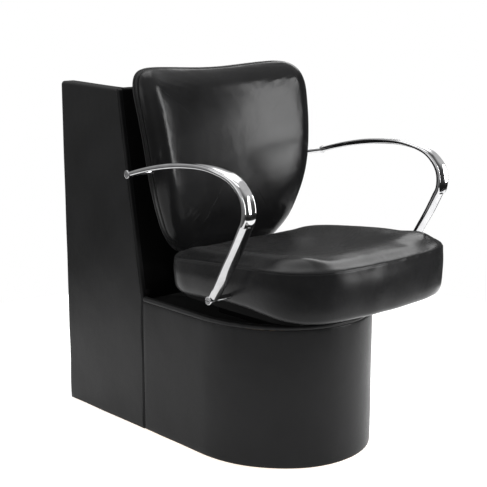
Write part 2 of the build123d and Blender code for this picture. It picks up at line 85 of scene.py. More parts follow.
def waves(co, length, seed, count=14):
    """Smooth random field from -1 to 1 with features about length metres across."""
    rng = np.random.default_rng(seed)
    turn = rng.normal(size=(count, 3))
    turn /= np.linalg.norm(turn, axis=1)[:, None]
    turn *= (2 * math.pi / length) * rng.uniform(0.6, 1.5, (count, 1))
    phase = rng.uniform(0, 2 * math.pi, count)
    return np.sin(co @ turn.T + phase).sum(axis=1) / math.sqrt(count) / 1.6


def catmull(points, count):
    """Points along a smooth curve through the given ones."""
    p = np.asarray(points, float)
    p = np.vstack([2 * p[0] - p[1], p, 2 * p[-1] - p[-2]])
    spans = len(p) - 3
    out = []
    for u in np.linspace(0, spans, count):
        i = min(int(u), spans - 1)
        t = u - i
        a, b, c, d = p[i : i + 4]
        bend = (2 * a - 5 * b + 4 * c - d) * t**2 + (3 * b - a - 3 * c + d) * t**3
        out.append(0.5 * (2 * b + (c - a) * t + bend))
    return np.array(out)


def resampled(loop, count, closed=True):
    """A polyline at equal steps along its length."""
    p = np.vstack([loop, loop[:1]]) if closed else np.asarray(loop, float)
    step = np.linalg.norm(np.diff(p, axis=0), axis=1)
    keep = np.concatenate([[True], step > 1e-9])
    p = p[keep]
    at = np.concatenate([[0], np.cumsum(np.linalg.norm(np.diff(p, axis=0), axis=1))])
    want = np.linspace(0, at[-1], count, endpoint=not closed)
    return np.column_stack([np.interp(want, at, p[:, k]) for k in range(p.shape[1])])


def softened(loop, passes):
    """A closed loop with its facets smoothed away."""
    for _ in range(passes):
        loop = (np.roll(loop, 1, axis=0) + 2 * loop + np.roll(loop, -1, axis=0)) / 4
    return loop


def inward(loop):
    """Unit normals in the plane of a counter-clockwise closed loop, to its inside."""
    t = np.roll(loop, -1, axis=0) - np.roll(loop, 1, axis=0)
    t /= np.linalg.norm(t, axis=1)[:, None]
    return np.column_stack([-t[:, 1], t[:, 0]])


def make(name, verts, faces, material, replaced=(), body=CHAIR, smooth_deg=None):
    """A mesh piece in the row frame that rides on a body."""
    mesh = bpy.data.meshes.new(name)
    mesh.from_pydata([tuple(v) for v in np.asarray(verts, float)], [], [tuple(f) for f in faces])
    mesh.validate()
    obj = bpy.data.objects.new(name, mesh)
    bpy.context.scene.collection.objects.link(obj)
    return finish_piece(obj, material, replaced, body, smooth_deg)


def finish_piece(obj, material, replaced=(), body=CHAIR, smooth_deg=None):
    bm = bmesh.new()
    bm.from_mesh(obj.data)
    bmesh.ops.recalc_face_normals(bm, faces=bm.faces)
    bm.to_mesh(obj.data)
    bm.free()
    obj.data.materials.clear()
    obj.data.materials.append(material)
    for polygon in obj.data.polygons:
        polygon.use_smooth = True
    if smooth_deg:
        obj.data.set_sharp_from_angle(angle=math.radians(smooth_deg))
    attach(obj, body)
    if replaced:
        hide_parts(*replaced)
    return obj


def rings_to_faces(rows, columns, wrap=True, around=False):
    """Quads between rings: wrap joins a ring's two ends, around joins the last ring to the first."""
    faces = []
    for r in range(rows if around else rows - 1):
        for c in range(columns if wrap else columns - 1):
            d, up = (c + 1) % columns, (r + 1) % rows
            faces.append((r * columns + c, r * columns + d, up * columns + d, up * columns + c))
    return faces


def closed_form(rings):
    """Vertices and faces of a form made of closed rings, with a point at both ends."""
    rings = np.asarray(rings, float)
    rows, columns = rings.shape[:2]
    verts = list(rings.reshape(-1, 3))
    faces = rings_to_faces(rows, columns)
    for row, flip in ((0, False), (rows - 1, True)):
        verts.append(rings[row].mean(axis=0))
        centre = len(verts) - 1
        for c in range(columns):
            a, b = row * columns + c, row * columns + (c + 1) % columns
            faces.append((centre, a, b) if flip else (centre, b, a))
    return verts, faces


def coords(obj):
    """Places of a mesh's corners, one per row."""
    co = np.zeros(len(obj.data.vertices) * 3, np.float32)
    obj.data.vertices.foreach_get("co", co)
    return co.reshape(-1, 3).astype(float)


def set_coords(obj, co):
    obj.data.vertices.foreach_set("co", co.astype(np.float32).ravel())
    obj.data.update()


def normals(obj):
    n = np.zeros(len(obj.data.vertices) * 3, np.float32)
    obj.data.vertices.foreach_get("normal", n)
    return n.reshape(-1, 3).astype(float)


def uneven(obj, height, length, seed):
    """Raises and lowers a surface a little, as vinyl over foam or board is never quite flat."""
    co = coords(obj)
    set_coords(obj, co + normals(obj) * (height * waves(co, length, seed))[:, None])


# ---- materials ----------------------------------------------------------------------------
class Nodes:
    """Adds nodes to a tree. A value is a number, a colour or another node's output."""

    def __init__(self, tree):
        self.tree = tree
        self.tree.nodes.clear()

    def feed(self, socket, value):
        if hasattr(value, "is_linked"):
            self.tree.links.new(value, socket)
        else:
            socket.default_value = value

    def node(self, kind, values=None, **settings):
        made = self.tree.nodes.new(kind)
        for key, value in settings.items():
            setattr(made, key, value)
        for key, value in (values or {}).items():
            self.feed(made.inputs[key], value)
        return made

    def fit(self, value, low, high, to_low, to_high, curve="LINEAR"):
        values = {"Value": value, "From Min": low, "From Max": high, "To Min": to_low, "To Max": to_high}
        return self.node("ShaderNodeMapRange", values, interpolation_type=curve).outputs[0]

    def sum(self, a, b, kind="ADD"):
        return self.node("ShaderNodeMath", {0: a, 1: b}, operation=kind).outputs[0]


class Shader(Nodes):
    """A Principled material with a few helpers for its patterns."""

    def __init__(self, name):
        self.material = bpy.data.materials.new(name)
        self.material.use_nodes = True
        super().__init__(self.material.node_tree)
        self.bsdf = self.node("ShaderNodeBsdfPrincipled")
        self.node("ShaderNodeOutputMaterial", {0: self.bsdf.outputs[0]})
        self.place = self.node("ShaderNodeTexCoord").outputs["Object"]

    def stretched(self, scale):
        return self.node("ShaderNodeMapping", {"Vector": self.place, "Scale": scale}).outputs[0]

    def noise(self, scale, detail=3.0, rough=0.5, place=None):
        values = {"Vector": place or self.place, "Scale": scale, "Detail": detail, "Roughness": rough}
        return self.node("ShaderNodeTexNoise", values).outputs[0]

    def creases(self, scale):
        """Distance to the nearest edge between random cells."""
        values = {"Vector": self.place, "Scale": scale}
        return self.node("ShaderNodeTexVoronoi", values, feature="DISTANCE_TO_EDGE").outputs["Distance"]

    def mix(self, factor, a, b):
        return self.node("ShaderNodeMix", {0: factor, 6: a, 7: b}, data_type="RGBA").outputs[2]

    def bump(self, height, strength, distance, under=None):
        values = {"Height": height, "Strength": strength, "Distance": distance}
        if under is not None:
            values["Normal"] = under
        return self.node("ShaderNodeBump", values).outputs[0]

    def edges(self, low, high):
        """1 on worn convex edges, 0 on faces and in hollows."""
        point = self.node("ShaderNodeNewGeometry").outputs["Pointiness"]
        return self.fit(point, low, high, 0.0, 1.0)

    def set(self, **values):
        for key, value in values.items():
            self.feed(self.bsdf.inputs[key.replace("_", " ")], value)
        return self.material


def grey(v, tint=1.0):
    """A grey whose blue is scaled by tint."""
    return (v, v, v * tint, 1.0)


def vinyl(name, dark, light, rough, grain=650.0, relief=1.0, shine=0.14):
    """Soft black vinyl with leather grain, uneven gloss and rubbed edges."""
    s = Shader(name)
    tone = s.noise(7.0, 4.0, 0.6)
    colour = s.mix(s.fit(tone, 0.35, 0.65, 0.0, 1.0), grey(dark, 1.04), grey(light, 1.05))
    rubbed = s.sum(s.edges(0.52, 0.60), s.noise(60.0, 5.0, 0.7), "MULTIPLY")
    colour = s.mix(s.sum(rubbed, 0.35, "MULTIPLY"), colour, grey(light * 2.6, 1.02))
    creases = s.fit(s.creases(grain), 0.0, 0.22, 0.0, 1.0)
    pores = s.noise(grain * 3.1, 2.0)
    pebble = s.sum(s.sum(creases, 0.75, "MULTIPLY"), s.sum(pores, 0.25, "MULTIPLY"))
    broad = s.bump(s.noise(26.0, 3.0, 0.5), 0.22 * relief, 0.0022)
    mid = s.bump(s.noise(120.0, 3.0, 0.55), 0.16 * relief, 0.0006, broad)
    fine = s.bump(pebble, 0.30 * relief, 0.00012, mid)
    gloss = s.sum(s.fit(tone, 0.3, 0.7, rough - 0.035, rough + 0.035), s.fit(creases, 0, 1, 0.06, 0.0))
    return s.set(
        Base_Color=colour,
        Roughness=gloss,
        Normal=fine,
        Specular_IOR_Level=shine,
        Sheen_Weight=0.03,
        Sheen_Roughness=0.4,
    )


def thread(name, tone):
    """Twisted sewing thread."""
    s = Shader(name)
    turns = {"Vector": s.place, "Scale": 900.0, "Distortion": 2.0}
    twist = s.node("ShaderNodeTexWave", turns).outputs[1]
    colour = s.mix(twist, grey(tone * 0.6), grey(tone))
    relief = s.bump(twist, 0.3, 0.0001)
    return s.set(Base_Color=colour, Roughness=0.6, Normal=relief, Specular_IOR_Level=0.3)


def polished(name, tone, rough, wave=1.0):
    """Cast and polished metal: mirror-like, with faint polishing lines and a few dull spots."""
    s = Shader(name)
    dull = s.noise(35.0, 4.0, 0.6)
    lines = s.noise(400.0, 2.0, 0.5, s.stretched((6.0, 0.5, 0.5)))
    colour = s.mix(s.fit(dull, 0.4, 0.7, 0.0, 1.0), grey(tone, 1.01), grey(tone * 0.86, 1.02))
    finish = s.sum(s.fit(dull, 0.35, 0.75, rough, rough + 0.07), s.fit(lines, 0, 1, 0.0, 0.03))
    ripple = s.bump(s.noise(55.0, 2.0, 0.4), 0.10 * wave, 0.0006)
    hair = s.bump(lines, 0.04, 0.0001, ripple)
    return s.set(Base_Color=colour, Metallic=1.0, Roughness=finish, Normal=hair)


def plated(name, tone, rough):
    """Zinc plate: mottled, with fine scratches."""
    s = Shader(name)
    mottle = s.noise(180.0, 4.0, 0.65)
    colour = s.mix(mottle, grey(tone * 0.75, 1.03), grey(tone, 0.98))
    scratches = s.noise(900.0, 2.0, 0.5, s.stretched((0.2, 1.0, 3.0)))
    finish = s.fit(mottle, 0.3, 0.7, rough, rough + 0.14)
    return s.set(Base_Color=colour, Metallic=1.0, Roughness=finish, Normal=s.bump(scratches, 0.15, 0.0002))


def painted(name, tone):
    """Powder coat on steel: fine orange peel and bare metal rubbed through at the edges."""
    s = Shader(name)
    peel = s.noise(900.0, 3.0, 0.5)
    cloud = s.noise(24.0, 4.0, 0.6)
    colour = s.mix(s.fit(cloud, 0.3, 0.7, 0.0, 1.0), grey(tone * 0.8), grey(tone * 1.3))
    colour = s.mix(s.sum(s.edges(0.55, 0.66), 0.3, "MULTIPLY"), colour, grey(0.25))
    finish = s.fit(cloud, 0.3, 0.7, 0.42, 0.55)
    relief = s.bump(peel, 0.25, 0.0003)
    return s.set(Base_Color=colour, Roughness=finish, Normal=relief, Specular_IOR_Level=0.12)


def lacquered(name, tone):
    """Thin black lacquer on plywood: the grain shows as fine pores."""
    s = Shader(name)
    pores = s.noise(300.0, 4.0, 0.6, s.stretched((0.1, 1.0, 1.0)))
    colour = s.mix(s.fit(pores, 0.35, 0.7, 0.0, 1.0), grey(tone * 0.7), grey(tone * 1.4))
    finish = s.fit(pores, 0.3, 0.7, 0.55, 0.70)
    relief = s.bump(pores, 0.3, 0.0003)
    return s.set(Base_Color=colour, Roughness=finish, Normal=relief, Specular_IOR_Level=0.04)


def moulded(name, tone):
    """Moulded plastic: fine spark texture and pale scuffs."""
    s = Shader(name)
    spark = s.noise(1500.0, 2.0, 0.5)
    scuff = s.noise(90.0, 5.0, 0.7)
    colour = s.mix(s.fit(scuff, 0.5, 0.75, 0.0, 0.5), grey(tone), grey(tone * 2.6))
    finish = s.fit(scuff, 0.3, 0.7, 0.5, 0.65)
    return s.set(Base_Color=colour, Roughness=finish, Normal=s.bump(spark, 0.3, 0.0002))


def plywood(name, across):
    """Birch plywood: long grain on the faces, thin plies on the edges, a few dark streaks."""
    s = Shader(name)
    long_grain = s.noise(38.0, 6.0, 0.62, s.stretched(across))
    streak = s.noise(140.0, 3.0, 0.5, s.stretched(across))
    blotch = s.noise(5.0, 3.0, 0.5)
    colour = s.mix(s.fit(long_grain, 0.35, 0.68, 0.0, 1.0), (0.50, 0.34, 0.19, 1), (0.68, 0.51, 0.33, 1))
    colour = s.mix(s.fit(streak, 0.58, 0.75, 0.0, 0.55), colour, (0.34, 0.21, 0.11, 1))
    colour = s.mix(s.fit(blotch, 0.3, 0.7, 0.0, 0.25), colour, (0.72, 0.58, 0.40, 1))
    relief = s.bump(long_grain, 0.3, 0.0004, s.bump(streak, 0.2, 0.0002))
    return s.set(Base_Color=colour, Roughness=s.fit(long_grain, 0.3, 0.7, 0.55, 0.75), Normal=relief)


def plain_floor(name, glow):
    """Pale, matt floor that glows a little, so that it stays white in every view."""
    s = Shader(name)
    cloud = s.noise(1.5, 2.0, 0.5)
    colour = s.mix(s.fit(cloud, 0.3, 0.7, 0.0, 1.0), grey(0.90), grey(0.92))
    s.set(Base_Color=colour, Roughness=0.9, Specular_IOR_Level=0.1)
    return s.set(Emission_Color=grey(1.0), Emission_Strength=glow)


COVER = vinyl("vinyl_covers", 0.0050, 0.0075, 0.34)
CUSHION = vinyl("vinyl_cushions", 0.0050, 0.0075, 0.23, 600.0, 0.5)
BACK = vinyl("vinyl_back", 0.0055, 0.0080, 0.165, 600.0, 0.8)
# painted shade: a darker, less shiny copy of the cover vinyl, for the deck under the seat, the column's front
# face and the joint cords, which are the same vinyl as the covers
SHADED_VINYL = vinyl("vinyl_painted_shade", 0.0012, 0.002, 0.45, shine=0.05)
THREAD = thread("black_thread", 0.02)
ALUMINIUM = polished("polished_aluminium", 0.44, 0.05)
CHROME = polished("bright_steel", 0.42, 0.16, 0.3)
ZINC = plated("zinc_steel", 0.55, 0.28)
STEEL = painted("black_steel", 0.02)
PLASTIC = moulded("black_plastic", 0.018)
LACQUER = lacquered("black_lacquer", 0.0015)
PLY_UPRIGHT = plywood("plywood_upright", (1.0, 1.0, 0.06))
PLY_FLAT = plywood("plywood_flat", (0.06, 1.0, 1.0))

BY_SLOT = {
    "plywood": PLY_UPRIGHT,
    "black_vinyl": COVER,
    "upholstery": CUSHION,
    "polished_aluminium": ALUMINIUM,
    "bright_steel": CHROME,
    "black_lacquered_wood": LACQUER,
    "zinc_steel": ZINC,
    "black_steel": STEEL,
    "black_plastic": PLASTIC,
}
FLAT_BOARDS = ("tower_base_board", "dryer_shelf", "pedestal_bottom_board", "pedestal_deck_board")
for row in frame["record"]["subparts"]:
    obj = frame["nodes"][row["node"]]
    obj.data.materials.clear()
    flat = row["node"] in FLAT_BOARDS
    obj.data.materials.append(PLY_FLAT if flat else BY_SLOT[row["material_slot"]])


# ---- cloth --------------------------------------------------------------------------------
def inflated(obj, voxel, pressure, cap, held, wrinkles):
    """Blows up a copy of a closed piece as cloth and carries its movement over to the piece.

    held(points) gives 1 where the cover is sewn or fixed and 0 where it is free. wrinkles is the
    share of the fine folds that stays: the foam under the cover smooths out the rest.
    """
    steps = 20
    scene = bpy.context.scene
    copy = obj.copy()
    copy.data = obj.data.copy()
    copy.parent = None
    copy.matrix_world = Matrix.Identity(4)
    scene.collection.objects.link(copy)
    remesh = copy.modifiers.new("remesh", "REMESH")
    remesh.mode = "VOXEL"
    remesh.voxel_size = voxel
    view = bpy.context.evaluated_depsgraph_get()
    skin = bpy.data.meshes.new_from_object(copy.evaluated_get(view))
    bpy.data.objects.remove(copy)
    body = bpy.data.objects.new("cloth_body", skin)
    scene.collection.objects.link(body)
    rest = coords(body)
    grip = np.clip(held(rest), 0, 1)
    group = body.vertex_groups.new(name="held")
    for index in np.nonzero(grip > 0.01)[0]:
        group.add([int(index)], float(grip[index]), "REPLACE")
    cloth = body.modifiers.new("cloth", "CLOTH")
    for key, value in {
        "quality": 4,
        "mass": 0.3,
        "tension_stiffness": 12,
        "compression_stiffness": 12,
        "shear_stiffness": 6,
        "bending_stiffness": 0.6,
        "air_damping": 3,
        "use_pressure": True,
        "uniform_pressure_force": pressure,
        "vertex_group_mass": "held",
    }.items():
        setattr(cloth.settings, key, value)
    cloth.settings.effector_weights.gravity = 0
    cloth.collision_settings.use_collision = False
    cloth.point_cache.frame_start = 1
    cloth.point_cache.frame_end = steps
    for step in range(1, steps + 1):
        scene.frame_set(step)
    view = bpy.context.evaluated_depsgraph_get()
    blown = body.evaluated_get(view).to_mesh()
    moved = np.zeros(len(blown.vertices) * 3, np.float32)
    blown.vertices.foreach_get("co", moved)
    shift = moved.reshape(-1, 3).astype(float) - rest
    scene.frame_set(1)
    bpy.data.objects.remove(body)
    length = np.linalg.norm(shift, axis=1)
    shift *= (cap * np.tanh(length / cap) / np.maximum(length, 1e-9))[:, None]
    tree = KDTree(len(rest))
    for index, point in enumerate(rest):
        tree.insert(point, index)
    tree.balance()
    around = [[hit[1] for hit in tree.find_n(point, 64)] for point in rest]
    broad = np.array([shift[near].mean(axis=0) for near in around])
    shift = broad + wrinkles * (shift - broad)
    here = coords(obj)
    for index, point in enumerate(here):
        near = tree.find_n(point, 8)
        weight = np.array([1 / (hit[2] + voxel / 2) ** 2 for hit in near])
        here[index] = point + weight @ shift[[hit[1] for hit in near]] / weight.sum()
    set_coords(obj, here)


# ---- seams --------------------------------------------------------------------------------
def tube(line, radius, sides=8):
    """Vertices and faces of a round cord along a line."""
    line = np.asarray(line, float)
    ahead = np.roll(line, -1, axis=0) - np.roll(line, 1, axis=0)
    ahead[0] = line[1] - line[0]
    ahead[-1] = line[-1] - line[-2]
    ahead /= np.linalg.norm(ahead, axis=1)[:, None]
    side = np.cross(ahead, np.array([0.13, 0.21, 0.97]))
    side /= np.linalg.norm(side, axis=1)[:, None]
    up = np.cross(side, ahead)
    angle = np.linspace(0, 2 * math.pi, sides, endpoint=False)[None, :, None]
    return closed_form(line[:, None] + radius * (np.cos(angle) * side[:, None] + np.sin(angle) * up[:, None]))


def gathered(shapes):
    """Several (vertices, faces) as one."""
    verts, faces = [], []
    for more, quads in shapes:
        start = len(verts)
        verts.extend(np.asarray(more, float).tolist())
        faces.extend([tuple(i + start for i in face) for face in quads])
    return verts, faces


def stitches(line, pitch=0.0052, length=0.0036, radius=0.00042, closed=False):
    """Threads of a stitched seam: short cords at an even pitch along a line."""
    line = np.asarray(line, float)
    path = np.vstack([line, line[:1]]) if closed else line
    at = np.concatenate([[0], np.cumsum(np.linalg.norm(np.diff(path, axis=0), axis=1))])
    count = int(at[-1] / pitch)
    shapes = []
    for k in range(count):
        middle = (k + 0.5) * at[-1] / count
        spots = np.linspace(middle - length / 2, middle + length / 2, 4)
        shapes.append(tube(np.column_stack([np.interp(spots, at, path[:, i]) for i in range(3)]), radius, 6))
    return gathered(shapes)


# ---- seat cushion -------------------------------------------------------------------------
seat_low, seat_high = span("seat_cushion")
panel_low, panel_high = span("seat_base_panel")
SEAT_COLUMNS = 360
SEAT_HALF = 0.262
SEAT_CROWN = 0.511  # height of the seat's top that the seam line below goes with
SEAM_LINE = catmull(
    [
        (0.06, 0.470), (0.02, 0.472), (-0.06, 0.478), (-0.14, 0.486),
        (-0.22, 0.494), (-0.30, 0.500), (-0.38, 0.503), (-0.49, 0.504),
    ],
    120,
)[::-1]
UNDERSIDE_LINE = np.array(
    [
        (-0.48, 0.3865), (-0.41, 0.391), (-0.34, 0.399), (-0.28, 0.404),
        (-0.21, 0.406), (-0.15, 0.402), (-0.06, 0.394), (0.06, 0.390),
    ]
)


def seat_seam_z(y):
    """Height of the seat's top seam, rising to the front."""
    return np.interp(y, SEAM_LINE[:, 0], SEAM_LINE[:, 1]) + seat_high[2] - SEAT_CROWN


def seat_underside_z(y):
    """Height of the seat's lower edge: lowest at the front overhang."""
    return np.interp(y, UNDERSIDE_LINE[:, 0], UNDERSIDE_LINE[:, 1])


def seat_top_rise(x, y, inset):
    """How far the seat's top stands above its seam height: bolsters round a hollow for the sitter."""
    t = (y - seat_high[1]) / (seat_low[1] - seat_high[1])
    edge = smoothstep(inset, 0.0, 0.050)
    side = np.abs(x) / SEAT_HALF
    bolster = 0.010 * smoothstep(side, 0.40, 0.80) * (1 - smoothstep(side, 0.86, 1.1))
    hollow = -0.022 * np.exp(-((np.abs(x) / 0.165) ** 3) - ((np.abs(t - 0.50) / 0.27) ** 3))
    front = 0.006 * smoothstep(t, 0.66, 0.86)
    rear = -0.004 * smoothstep(t, 0.35, 0.0)
    return edge * (0.006 + bolster + front + rear + hollow)


plan = points_of("seat_cushion")[:, :2]
hull = convex_hull_2d([tuple(p) for p in plan])
seat_loop = softened(resampled(plan[hull], SEAT_COLUMNS), 14)
if np.cross(seat_loop[1] - seat_loop[0], seat_loop[20] - seat_loop[0]) < 0:
    seat_loop = seat_loop[::-1]
seat_in = inward(seat_loop)
SEAT_CENTRE = np.array([0.0, (seat_low[1] + seat_high[1]) / 2])
DEEP, MIDDLE = 0.085, 0.27  # insets where rings start to shrink and where they would meet


def seat_ring(inset):
    """The seat's plan inset by a distance, shrinking to its middle past DEEP."""
    ring = seat_loop + seat_in * min(inset, DEEP)
    if inset > DEEP:
        ring = SEAT_CENTRE + (ring - SEAT_CENTRE) * (1 - (inset - DEEP) / (MIDDLE - DEEP))
    return ring


def seat_form():
    """Rings of the seat's cover from the middle below to the middle above, and the seam's ring."""
    rings = []

    def add(inset, z_at):
        plan_ring = seat_ring(inset)
        rings.append(np.column_stack([plan_ring, z_at(plan_ring[:, 0], plan_ring[:, 1])]))

    def bottom_z(x, y):
        under = seat_underside_z(y)
        pocket = panel_high[2] + 0.0006
        return np.where(y > panel_low[1] - 0.001, np.maximum(pocket, under), under + 0.002)

    for inset in (0.262, 0.22, 0.17, 0.12, 0.085, 0.06, 0.045, 0.036, 0.030, 0.026):
        add(inset, bottom_z)
    for inset, up in (
        (0.0235, 0.0), (0.020, -0.0005), (0.0165, 0.0004), (0.0125, 0.0024), (0.0085, 0.0056),
        (0.0052, 0.0098), (0.0028, 0.0150), (0.0012, 0.0212), (0.0004, 0.0280), (-0.0004, 0.0360),
    ):
        add(inset, lambda x, y: seat_underside_z(y) + up)
    side_low = rings[-1][:, 2]
    for share, bulge in ((0.2, 0.0010), (0.4, 0.0018), (0.6, 0.0020), (0.78, 0.0016), (0.9, 0.0009)):
        add(-bulge, lambda x, y: side_low + (seat_seam_z(y) - 0.006 - side_low) * share)
    seam_row = len(rings) + 4
    for inset, up in (
        (-0.0006, -0.0045), (-0.0005, -0.0030), (-0.0004, -0.0018), (-0.0001, -0.0009), (0.0020, -0.00045),
        (0.0010, 0.00075), (0.0022, 0.00225), (0.0048, 0.00375), (0.0085, 0.00495),
    ):
        add(inset, lambda x, y: seat_seam_z(y) + up + seat_top_rise(x, y, inset))
    for inset in (
        0.013, 0.018, 0.024, 0.031, 0.039, 0.048, 0.058, 0.070, 0.083,
        0.098, 0.114, 0.132, 0.152, 0.174, 0.198, 0.223, 0.245, 0.260,
    ):
        add(inset, lambda x, y: seat_seam_z(y) + 0.0052 + seat_top_rise(x, y, inset))
    return np.array(rings), seam_row


seat_rings, SEAM_ROW = seat_form()
verts, faces = closed_form(seat_rings)
seat = make("seat_cushion_cover", verts, faces, CUSHION, ["seat_cushion"])
seam_index = SEAM_ROW * SEAT_COLUMNS + np.arange(SEAT_COLUMNS)


def seat_held(co):
    """Sewn along the top seam and fixed underneath."""
    gap = np.abs(co[:, 2] - seat_seam_z(co[:, 1]))
    tree = KDTree(SEAT_COLUMNS)
    for index, point in enumerate(seat_rings[SEAM_ROW]):
        tree.insert(point, index)
    tree.balance()
    near = np.array([tree.find(p)[2] if g < 0.02 else 1.0 for p, g in zip(co, gap)])
    sewn = 1 - smoothstep(near, 0.003, 0.009)
    fixed = 1 - smoothstep(co[:, 2] - seat_underside_z(co[:, 1]), 0.012, 0.03)
    return np.maximum(sewn, fixed)


inflated(seat, 0.007, 3.0, 0.004, seat_held, 0.5)
seat_co = coords(seat)
around_seam = np.column_stack([seat_co[seam_index][:, :2], np.zeros(SEAT_COLUMNS)])
gathers = 0.0004 * waves(around_seam, 0.022, 5)
pucker = np.zeros(len(seat_co))
for k in range(-5, 7):
    pucker[seam_index + k * SEAT_COLUMNS] = gathers * math.exp(-((k / 3.0) ** 2))
seat_co += normals(seat) * (pucker + 0.0005 * waves(seat_co, 0.09, 3))[:, None]
set_coords(seat, seat_co)


# ---- back ---------------------------------------------------------------------------------
BACK_Y = 0.044  # the face's nearest point to the sitter, and its height
BACK_Z = 0.610
BACK_CURVE_R = 1.350
BACK_BULGE_R = 0.900
OUTLINE_HALF, OUTLINE_TOP, OUTLINE_FOOT = 0.265, 0.905, 0.4515  # what the outline's points go with
BAND_FRONT = 0.0400  # depths behind the face where the side band starts and ends
BAND_REAR = 0.0540
back_low, back_high = span("back_front_cushion")


def back_surface(x, z, depth):
    """y of the layer that lies depth behind the back's front face."""
    wrap = BACK_Y - BACK_CURVE_R + np.sqrt((BACK_CURVE_R + depth) ** 2 - x**2)
    centre = BACK_Y + BACK_BULGE_R
    return centre - np.sqrt((centre - wrap) ** 2 - (z - BACK_Z) ** 2)


flank = [(0.150, 0.453), (0.190, 0.497), (0.213, 0.540), (0.243, 0.630), (0.258, 0.750), (0.265, 0.840)]
corner = [(0.2635, 0.862), (0.254, 0.886), (0.234, 0.901), (0.205, 0.9045)]
side_line = catmull(np.array(flank + corner) * (back_high[0] / OUTLINE_HALF, 1.0), 160)
side_line[:, 1] += back_high[2] - OUTLINE_TOP
dip = np.column_stack([np.linspace(side_line[-1, 0], 0, 40)[1:], np.zeros(39)])
dip[:, 1] = side_line[-1, 1] - 0.0085 * (1 - smoothstep(dip[:, 0] / side_line[-1, 0], 0.0, 1.05))
foot = np.array([(0.0, OUTLINE_FOOT), (0.11, OUTLINE_FOOT)])
foot[:, 1] += back_low[2] - OUTLINE_FOOT
half_loop = np.vstack([resampled(foot, 12, closed=False), side_line, dip])
other = half_loop[::-1][1:-1] * (-1, 1)
back_loop = softened(resampled(np.vstack([half_loop, other]), 400), 20)
BACK_CENTRE = np.array([0.0, 0.69])
back_in = inward(back_loop)
if ((BACK_CENTRE - back_loop) * back_in).sum() < 0:
    back_loop = back_loop[::-1]
    back_in = inward(back_loop)


def back_ring(inset, depth):
    """A ring round the back at an inset from its outline and a depth behind its face."""
    deep, middle = 0.05, 0.265
    ring = back_loop + back_in * min(inset, deep)
    if inset > deep:
        ring = BACK_CENTRE + (ring - BACK_CENTRE) * (1 - (inset - deep) / (middle - deep))
    y = back_surface(ring[:, 0], ring[:, 1], depth)
    return np.column_stack([ring[:, 0], y, ring[:, 1]])


def back_front_form():
    """Front pad: dished face, broad rolled edge, flat rear on the shell."""
    face_depth, roll_depth, roll_across, count = 0.0004, 0.0352, 0.043, 24
    rings = [back_ring(i, BAND_FRONT - 0.0002) for i in (0.262, 0.2, 0.14, 0.09, 0.05, 0.025, 0.010)]
    for inset, less in ((0.0035, 0.0003), (0.0012, 0.0009), (0.0003, 0.0020)):
        rings.append(back_ring(inset, BAND_FRONT - less))
    for k in range(count, -1, -1):
        a = k / count * math.pi / 2
        inset = roll_across * (1 - math.sin(a)) - 0.0006 * math.sin(a)
        rings.append(back_ring(inset, face_depth + roll_depth * (1 - math.cos(a))))
    for inset in (0.0545, 0.059, 0.067, 0.078, 0.092, 0.11, 0.13, 0.155, 0.18, 0.21, 0.24, 0.262):
        rings.append(back_ring(inset, face_depth))
    return rings


def back_rear_form():
    """Rear pad: thin, with a small rolled edge behind the band."""
    rings = [back_ring(i, BAND_REAR + 0.0002) for i in (0.262, 0.2, 0.14, 0.09, 0.05, 0.025, 0.010)]
    rings += [back_ring(0.004, BAND_REAR + 0.0008), back_ring(0.0018, BAND_REAR + 0.002)]
    for k in range(9):
        a = k / 8 * math.pi / 2
        rings.append(back_ring(0.001 + 0.011 * (1 - math.cos(a)), BAND_REAR + 0.0030 + 0.0105 * math.sin(a)))
    for inset in (0.018, 0.026, 0.036, 0.048, 0.06, 0.08, 0.11, 0.14, 0.18, 0.22, 0.262):
        rings.append(back_ring(inset, BAND_REAR + 0.0138))
    return rings


def back_band_form():
    """Side band: nearly flush, drawn in at the seams on both of its edges."""
    rings = [back_ring(0.0130, BAND_FRONT + 0.0008)]
    for inset, depth in (
        (0.006, 0.0003), (0.0016, 0.0006), (0.0005, 0.0014), (0.0001, 0.0032), (-0.0002, 0.0070),
        (0.0001, 0.0108), (0.0005, 0.0126), (0.0016, 0.0134), (0.006, 0.0137),
    ):
        rings.append(back_ring(inset, BAND_FRONT + depth))
    rings.append(back_ring(0.0130, BAND_REAR - 0.0008))
    return rings


def back_held(co):
    """Sewn along the band and glued to the shell behind."""
    depth = co[:, 1] - back_surface(co[:, 0], co[:, 2], 0.0)
    return smoothstep(depth, 0.022, 0.031)


verts, faces = closed_form(back_front_form())
back_front = make("back_front_cover", verts, faces, BACK, ["back_front_cushion"])
inflated(back_front, 0.007, 3.0, 0.005, back_held, 0.15)
uneven(back_front, 0.00018, 0.09, 9)

verts, faces = closed_form(back_rear_form())
back_rear = make("back_rear_cover", verts, faces, COVER, ["back_rear_pad"])

band = np.array(back_band_form())
faces = rings_to_faces(*band.shape[:2], around=True)
back_band = make("back_band_cover", band.reshape(-1, 3), faces, CUSHION, ["back_side_band"])

thread_depths = (BAND_FRONT - 0.0040, BAND_FRONT + 0.0030, BAND_REAR - 0.0030)
verts, faces = gathered([stitches(back_ring(-0.0004, depth), closed=True) for depth in thread_depths])
make("back_seam_threads", verts, faces, THREAD)


# ---- column covers ------------------------------------------------------------------------
def recut(node, planes):
    """A copy of a CAD skin, cut by planes so that it can be shaped."""
    bm = bmesh.new()
    bm.from_mesh(frame["nodes"][node].data)
    bmesh.ops.remove_doubles(bm, verts=bm.verts, dist=2e-6)
    bmesh.ops.dissolve_limit(bm, angle_limit=math.radians(0.4), verts=bm.verts, edges=bm.edges)
    for point, normal in planes:
        geometry = bm.verts[:] + bm.edges[:] + bm.faces[:]
        bmesh.ops.bisect_plane(bm, geom=geometry, dist=1e-6, plane_co=point, plane_no=normal)
    bmesh.ops.triangulate(bm, faces=[f for f in bm.faces if len(f.verts) > 4])
    mesh = bpy.data.meshes.new("cut")
    bm.to_mesh(mesh)
    bm.free()
    return mesh


